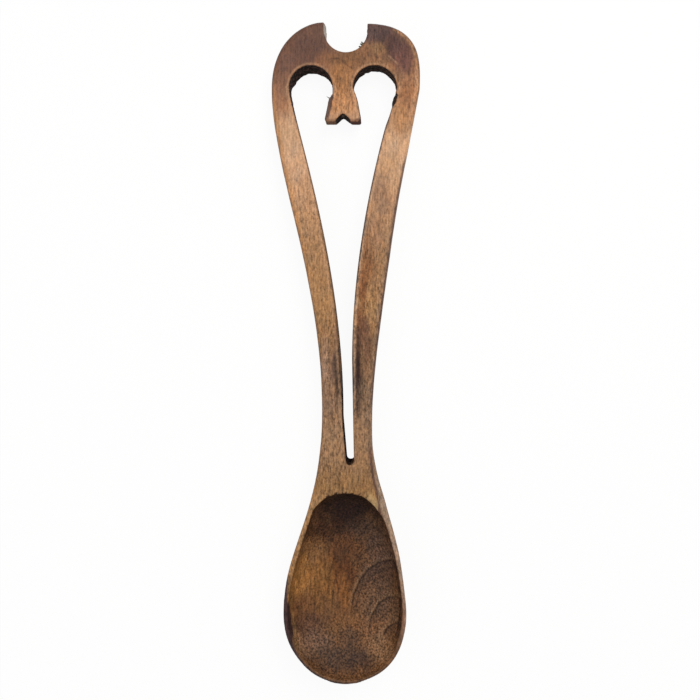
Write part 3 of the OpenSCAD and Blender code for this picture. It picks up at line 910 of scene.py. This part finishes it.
# Strength of the grain on the front face at levels up the spoon
LEFT_GRAIN_LEVELS = (-60, -10, 20, 60, 86, 105, 118)
LEFT_GRAIN = (0.95, 1.1, 0.75, 0.85, 0.45, 0.45, 0.5)
RIGHT_GRAIN_LEVELS = (-45, -20, 30, 60, 86, 118)
RIGHT_GRAIN = (0.85, 1.1, 1.05, 0.7, 0.5, 0.8)
CROWN_GRAIN = 0.85


def grain_strength(x, y, hollow, golden_side):
    """How strongly the grain shows at each point."""
    left_grain = np.interp(y, LEFT_GRAIN_LEVELS, LEFT_GRAIN)
    right_grain = np.interp(y, RIGHT_GRAIN_LEVELS, RIGHT_GRAIN)
    grain = left_grain + (right_grain - left_grain) * ease((x + 6) / 12)
    grain = np.maximum(grain, CROWN_GRAIN * blob(x, y, ARCH_X, 112, 9, 16, 0, 0))
    in_hollow = 1.15 + 0.15 * ease((-76 - y) / 10) - 0.35 * golden_side
    return grain + (in_hollow - grain) * hollow


def paint_wood(points, normals, plans, corner):
    """Linear colour and finish values at each point of the surface."""
    x, y, z = points.T
    nx, ny, nz = normals.T
    d_out, d_heart, d_notch, d_hollow = (sampler(grid, corner)(x, y) for grid in plans.values())
    ragged = wave_field(11, x, y, z, (6, 16, 8), 3)
    fibre = wave_field(12, x, y, z, (1.6, 30, 2.4), 3)
    hairs = wave_field(14, x, y, z, (1.2, 7, 2), 3)
    mottle = wave_field(13, x, y, z, (5, 9, 6), 3)
    grit = wave_field(15, x, y, z, (1.9, 1.9, 2.6), 3)

    hairline = 0.9 * ease((hairs + 0.1) / 0.7) * ease((y - HOLLOW_Y + 3) / 2)
    hollow = ease((0.25 - d_hollow + hairline) / 0.5) * ease((front(y) - z + hairline - 0.05) / 0.35)
    hollow = hollow * ease((nz + 0.1) / 0.15)
    facing = ease((nz - 0.35) / 0.3) * (1 - hollow)
    aside = ease((0.3 - nz) / 0.3)
    behind = ease((-nz - 0.1) / 0.3)

    # wood tones down the front, with a painted sheen and light falloff brightening the upper arms
    levels = [level for level, _ in FRONT_TONES_AND_LIGHT[::-1]]
    tones = np.array([linear(tone) for _, tone in FRONT_TONES_AND_LIGHT[::-1]])
    base = np.stack([np.interp(y + 3 * ragged, levels, channel) for channel in tones.T], axis=1)
    colours = stain(base, FRONT_STAINS, x, y, ragged + 0.5 * hairs)
    colours = paint_edges(colours, x, y, d_out, d_heart, facing, ragged, hairs)
    colours = paint_rim(colours, x, y, d_out, d_hollow, facing)
    colours = mixed(colours, lay(base, SIDE_TONE, 0.35), aside)
    colours = paint(colours, [
        ((70, 46, 36), 0.75, line_mask(x, y, KNIFE_LINE, 0.32) * facing * ease(1 + 0.6 * hairs)),
        ((162, 124, 94), 0.65, line_mask(x, y, LOBE_SCRATCH, 0.34) * facing),
        ((74, 50, 42), 0.6, line_mask(x, y, SCRATCH_SHADE, 0.32) * facing),
    ])
    colours = mixed(colours, paint_hollow(colours, x, y, d_hollow, ragged, hairs), hollow)
    colours = paint_shaded_side(colours, x, y, nz, d_out, hairs)

    under = stain(lay(base, BACK_TONE, 0.55), BACK_STAINS, x, y, ragged)
    colours = mixed(colours, under, behind)
    colours = paint_walls(colours, x, y, z, nx, ny, nz, d_heart, d_notch, grit)

    # streaks and mottling of the wood itself
    golden_side = hollow * ease((8 - x) / 10) * band(y, -122, -88, 10)
    shade = 1 + (0.09 + 0.04 * hollow + 0.1 * golden_side) * fibre + (0.05 + 0.08 * golden_side) * hairs
    shade = shade + (0.05 + 0.05 * hollow) * mottle
    warm = 0.04 * mottle
    tinted = colours * shade[:, None] * np.column_stack([1 + warm, np.ones(len(x)), 1 - 1.5 * warm])
    finish = {
        "scorch": ease((d_heart + 0.6) / 0.3) * ease((0.75 - np.abs(nz)) / 0.35),
        "hollow": hollow * (1 - 0.6 * golden_side),
        "grain": grain_strength(x, y, hollow, golden_side),
    }
    return np.clip(tinted, DARKEST, 1), finish


# Size of the texture's cells in millimetres, across the spoon, along it and through it
FIBRE_CELL = (0.8, 2.6, 0.8)
STREAK_CELL = (0.7, 12, 0.7)
STIPPLE_CELL = (0.75, 0.85, 0.75)
PORE_CELL = (0.5, 1.8, 0.5)


def node_maker(name):
    """New material, and a function that adds its nodes, with inputs to link or to set."""
    material = bpy.data.materials.new(name)
    material.use_nodes = True
    tree = material.node_tree
    tree.nodes.clear()

    def add(kind, inputs, **settings):
        node = tree.nodes.new(kind)
        for key, value in settings.items():
            setattr(node, key, value)
        for key, value in inputs.items():
            if isinstance(value, bpy.types.NodeSocket):
                tree.links.new(value, node.inputs[key])
            else:
                node.inputs[key].default_value = value
        return node
    return material, add


def wood_material():
    """Oiled, stained wood: the painted tint, broken by fibres, pores and fine mottling."""
    material, add = node_maker("oiled_wood")
    coordinates = add("ShaderNodeTexCoord", {})

    def painted(name):
        """Value painted on the surface under a name."""
        return add("ShaderNodeAttribute", {}, attribute_name=name).outputs["Fac"]

    def noise(cell, detail, roughness):
        """Noise whose cells have a size in millimetres along each axis."""
        scale = tuple(1 / (side * MM) for side in cell)
        mapping = add("ShaderNodeMapping", {"Vector": coordinates.outputs["Object"], "Scale": scale})
        inputs = {"Vector": mapping.outputs[0], "Scale": 1, "Detail": detail, "Roughness": roughness}
        return add("ShaderNodeTexNoise", inputs).outputs["Fac"]

    def span(value, low, high, to_low, to_high):
        """Stretches a range of a value to another range."""
        inputs = {"Value": value, "From Min": low, "From Max": high, "To Min": to_low, "To Max": to_high}
        return add("ShaderNodeMapRange", inputs, clamp=True).outputs[0]

    def combine(operation, *values):
        """Maths on sockets and numbers."""
        return add("ShaderNodeMath", dict(enumerate(values)), operation=operation).outputs[0]

    tint = add("ShaderNodeAttribute", {}, attribute_name="tint")
    scorch, hollow, grain = painted("scorch"), painted("hollow"), painted("grain")

    fibres = noise(FIBRE_CELL, 3, 0.6)
    streaks = span(noise(STREAK_CELL, 2, 0.5), 0.3, 0.7, -0.12, 0.12)
    stipple = noise(STIPPLE_CELL, 2, 0.6)
    pores = span(noise(PORE_CELL, 1, 0.5), 0.58, 0.7, 0, 1)
    fibre_share = combine("MULTIPLY_ADD", hollow, -0.6, 1.0)
    stipple_share = combine("MULTIPLY_ADD", hollow, 0.8, 0.45)
    pore_share = combine("MULTIPLY_ADD", hollow, -0.2, 0.25)
    fibre_part = combine("MULTIPLY", span(fibres, 0.3, 0.7, -0.55, 0.55), fibre_share)
    stipple_part = combine("MULTIPLY", span(stipple, 0.3, 0.7, -0.6, 0.6), stipple_share)
    rough_grain = combine("ADD", fibre_part, stipple_part)
    rough_grain = combine("SUBTRACT", rough_grain, combine("MULTIPLY", pores, pore_share))
    shade = combine("ADD", combine("MULTIPLY_ADD", rough_grain, grain, 1.02), streaks)
    shade = combine("MAXIMUM", shade, 0.36)

    colour = add("ShaderNodeVectorMath", {0: tint.outputs["Color"], "Scale": shade}, operation="SCALE")
    relief = combine("ADD", combine("MULTIPLY", fibres, 0.6), combine("MULTIPLY", pores, -0.5))
    relief = combine("ADD", relief, combine("MULTIPLY", stipple, combine("ADD", 0.15, scorch)))
    bump = add("ShaderNodeBump", {"Strength": 0.35, "Distance": 0.25 * MM, "Height": relief})
    rough = combine("ADD", span(fibres, 0.3, 0.7, 0.44, 0.58), combine("MULTIPLY", scorch, 0.35))
    rough = combine("ADD", rough, combine("MULTIPLY", hollow, 0.06))
    shader = add("ShaderNodeBsdfPrincipled", {
        "Base Color": colour.outputs[0], "Roughness": rough,
        "Specular IOR Level": 0.15, "Normal": bump.outputs[0],
    })
    add("ShaderNodeOutputMaterial", {"Surface": shader.outputs[0]})
    return material


# Cutting the carved surface into the members of the blank

# Directions across the cuts, and how near a vertex lies on a cut, in metres
ACROSS = Vector((1, 0, 0))
ALONG = Vector((0, 1, 0))
CUT_REACH = 1e-7


def half_of(source, normal, level, keep_above):
    """Copy of a mesh on one side of a plane, with its cut closed by a flat face."""
    part = source.copy()
    cut = bmesh.ops.bisect_plane(
        part, geom=part.verts[:] + part.edges[:] + part.faces[:], dist=CUT_REACH,
        plane_co=normal * level * MM, plane_no=normal, clear_inner=keep_above, clear_outer=not keep_above,
    )
    edges = [item for item in cut["geom_cut"] if isinstance(item, bmesh.types.BMEdge)]
    for cap in bmesh.ops.holes_fill(part, edges=edges, sides=0)["faces"]:
        cap.smooth = False
        for edge in cap.edges:
            edge.smooth = False
    return part


def split(source, normal, level):
    """The parts of a mesh below and above a level, given in millimetres along a direction."""
    return half_of(source, normal, level, False), half_of(source, normal, level, True)


def islands_on(source, wanted):
    """Copy of a mesh's islands on one side: -1 or 1 past the middle of an arch, and 0 between them."""
    part = source.copy()
    part.verts.ensure_lookup_table()
    seen = set()
    unwanted = []
    for start in part.verts:
        if start in seen:
            continue
        island, stack = [], [start]
        seen.add(start)
        while stack:
            vert = stack.pop()
            island.append(vert)
            for edge in vert.link_edges:
                other = edge.other_vert(vert)
                if other not in seen:
                    seen.add(other)
                    stack.append(other)
        levels = [vert.co.x for vert in island]
        side = -1 if min(levels) < LEFT_ARCH_X * MM else int(max(levels) > RIGHT_ARCH_X * MM)
        if side != wanted:
            unwanted += island
    bmesh.ops.delete(part, geom=unwanted, context="VERTS")
    return part


def cut_members(whole):
    """The eight members, by name, from the whole carved surface."""
    bowl, handle = split(whole, ALONG, BOWL_Y)
    neck, handle = split(handle, ALONG, FORK_Y)
    stems, head = split(handle, ALONG, ARCH_Y)
    left_lobe, head = split(head, ACROSS, LEFT_ARCH_X)
    crown, right_lobe = split(head, ACROSS, RIGHT_ARCH_X)
    left_arm, tail, right_arm = (islands_on(stems, side) for side in (-1, 0, 1))
    return {
        "bowl": bowl, "neck": neck, "left_arm": left_arm, "forked_tail": tail, "right_arm": right_arm,
        "left_heart_lobe": left_lobe, "heart_crown": crown, "right_heart_lobe": right_lobe,
    }


def add_fibre(part, path, thickness, tone):
    """Adds a thin closed splinter along a path, pointed at both ends."""
    tint = part.verts.layers.float_color["tint"]
    spots = [Vector(spot) * MM for spot in path]
    sides = 6
    rings = []
    for index in range(1, len(spots) - 1):
        way = (spots[index + 1] - spots[index - 1]).normalized()
        across = way.orthogonal().normalized()
        lift = way.cross(across)
        reach = thickness * MM / 2 * (1 - 0.5 * index / len(spots))
        ring = []
        for k in range(sides):
            turn = 2 * math.pi * k / sides
            spot = spots[index] + reach * (math.cos(turn) * across + math.sin(turn) * lift)
            ring.append(part.verts.new(spot))
        rings.append(ring)
    ends = [part.verts.new(spots[0]), part.verts.new(spots[-1])]
    for k in range(sides):
        after = (k + 1) % sides
        part.faces.new((ends[0], rings[0][after], rings[0][k]))
        part.faces.new((ends[1], rings[-1][k], rings[-1][after]))
        for low, high in zip(rings[:-1], rings[1:]):
            part.faces.new((low[k], low[after], high[after], high[k]))
    for vert in [v for ring in rings for v in ring] + ends:
        vert[tint] = (*linear(tone), 1)


# Splinters: member, thickness, colour, path in millimetres
FIBRES = [
    ("forked_tail", 0.42, (92, 84, 74),
     [(-5.6, 108.6, 9.0), (-6.6, 109.6, 9.6), (-7.8, 110.3, 9.9), (-8.8, 111.2, 10.0)]),
    ("forked_tail", 0.34, (104, 92, 80),
     [(-5.6, 108.8, 8.4), (-6.8, 110.4, 8.8), (-7.4, 110.7, 9.0), (-8.0, 110.4, 9.1)]),
    ("heart_crown", 1.3, (92, 92, 78),
     [(8.6, 132.4, 10.2), (7.4, 133.3, 10.6), (6.7, 133.6, 10.7), (6.1, 133.8, 10.6)]),
    ("heart_crown", 1.1, (104, 104, 92),
     [(8.4, 133.0, 9.6), (7.4, 134.2, 10.2), (7.0, 134.5, 10.5), (6.7, 134.8, 10.6)]),
    ("heart_crown", 0.9, (84, 78, 66),
     [(7.8, 131.6, 9.8), (6.7, 132.4, 10.4), (6.0, 132.6, 10.6), (5.5, 132.7, 10.6)]),
]

RELAX_ROUNDS = 3
RELAX_MOVE = 0.5


def carved_blank():
    """The whole carved surface as one mesh, in metres, with its colours and finish painted on."""
    field, plans, first_corner = build_field()
    points, faces = surface_nets(field, first_corner)
    points = relax(points, faces, RELAX_ROUNDS, RELAX_MOVE)
    colours, finish = paint_wood(points, normals_of(points, faces), plans, first_corner)
    mesh = bpy.data.meshes.new("carved_blank")
    mesh.from_pydata((points * MM).tolist(), [], faces.tolist())
    mesh.polygons.foreach_set("use_smooth", np.ones(len(faces), bool))
    tint = mesh.attributes.new("tint", "FLOAT_COLOR", "POINT")
    tint.data.foreach_set("color", np.column_stack([colours, np.ones(len(colours))]).ravel())
    for name, values in finish.items():
        layer = mesh.attributes.new(name, "FLOAT", "POINT")
        layer.data.foreach_set("value", values)
    whole = bmesh.new()
    whole.from_mesh(mesh)
    return whole


def build_pieces():
    """One piece for each member, in place of its CAD node."""
    members = cut_members(carved_blank())
    for name, thickness, tone, path in FIBRES:
        add_fibre(members[name], path, thickness, tone)
    wood = wood_material()
    for name, part in members.items():
        piece_mesh = bpy.data.meshes.new("carved_" + name)
        part.to_mesh(piece_mesh)
        piece = bpy.data.objects.new("carved_" + name, piece_mesh)
        bpy.context.scene.collection.objects.link(piece)
        piece_mesh.materials.append(wood)
        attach(piece, "root")
        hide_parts(name)


# The photograph's view: width, focal length and axis in pixels, and the eye's place in millimetres
FRAME_PX = 700
FOCAL_PX = 877
AXIS_PX = (375, 300)
EYE = (12.84, 21.19, 396)
SENSOR_MM = 36


def camera_from_photo():
    """Camera over the upper middle of the spoon, looking straight down, as the photograph's walls show."""
    data = bpy.data.cameras.new("photo_camera")
    camera = bpy.data.objects.new("photo_camera", data)
    bpy.context.scene.collection.objects.link(camera)
    data.sensor_width = SENSOR_MM
    data.lens = SENSOR_MM * FOCAL_PX / FRAME_PX
    data.shift_x = (FRAME_PX / 2 - AXIS_PX[0]) / FRAME_PX
    data.shift_y = (AXIS_PX[1] - FRAME_PX / 2) / FRAME_PX
    data.clip_start = 0.01
    data.clip_end = 10
    camera.location = Vector(EYE) * MM
    bpy.context.scene.camera = camera


def area_light(name, place, size, power, colour):
    """Soft square lamp that looks at the spoon's middle."""
    data = bpy.data.lights.new(name, "AREA")
    data.shape = "SQUARE"
    data.size = size
    data.energy = power
    data.color = colour
    lamp = bpy.data.objects.new(name, data)
    lamp.location = place
    lamp.rotation_mode = "QUATERNION"
    lamp.rotation_quaternion = (-Vector(place)).to_track_quat("-Z", "Y")
    bpy.context.scene.collection.objects.link(lamp)


# Floor in metres, the share of plain white that the camera sees in it, and the light from all round
FLOOR_SIZE = 6
FLOOR_GAP = 0.0001
FLOOR_COLOUR = (0.9, 0.9, 0.9, 1)
BACKDROP_SHARE = 0.93
WORLD_STRENGTH = 0.42


def studio():
    """Pale floor, soft lamps from the head side, and a pale world."""
    bpy.ops.mesh.primitive_plane_add(size=FLOOR_SIZE, location=(0, 0, -FLOOR_GAP))
    floor = bpy.context.active_object
    floor.name = "floor"
    material, add = node_maker("pale_floor")
    diffuse = add("ShaderNodeBsdfDiffuse", {"Color": FLOOR_COLOUR})
    glow = add("ShaderNodeEmission", {"Strength": 1})
    path = add("ShaderNodeLightPath", {})
    seen = path.outputs["Is Camera Ray"]
    share = add("ShaderNodeMath", {0: seen, 1: BACKDROP_SHARE}, operation="MULTIPLY")
    mix = add("ShaderNodeMixShader", {0: share.outputs[0], 1: diffuse.outputs[0], 2: glow.outputs[0]})
    add("ShaderNodeOutputMaterial", {"Surface": mix.outputs[0]})
    floor.data.materials.append(material)

    area_light("key", place=(0.25, 0.45, 0.75), size=0.5, power=5.2, colour=(1.0, 0.98, 0.95))
    area_light("fill", place=(-0.5, -0.2, 0.7), size=0.8, power=1.9, colour=(0.96, 0.98, 1.0))

    world = bpy.data.worlds.new("studio_world")
    bpy.context.scene.world = world
    world.use_nodes = True
    background = world.node_tree.nodes["Background"]
    background.inputs["Color"].default_value = (1, 1, 1, 1)
    background.inputs["Strength"].default_value = WORLD_STRENGTH


build_pieces()
camera_from_photo()
studio()
bpy.context.scene.view_settings.view_transform = "Standard"
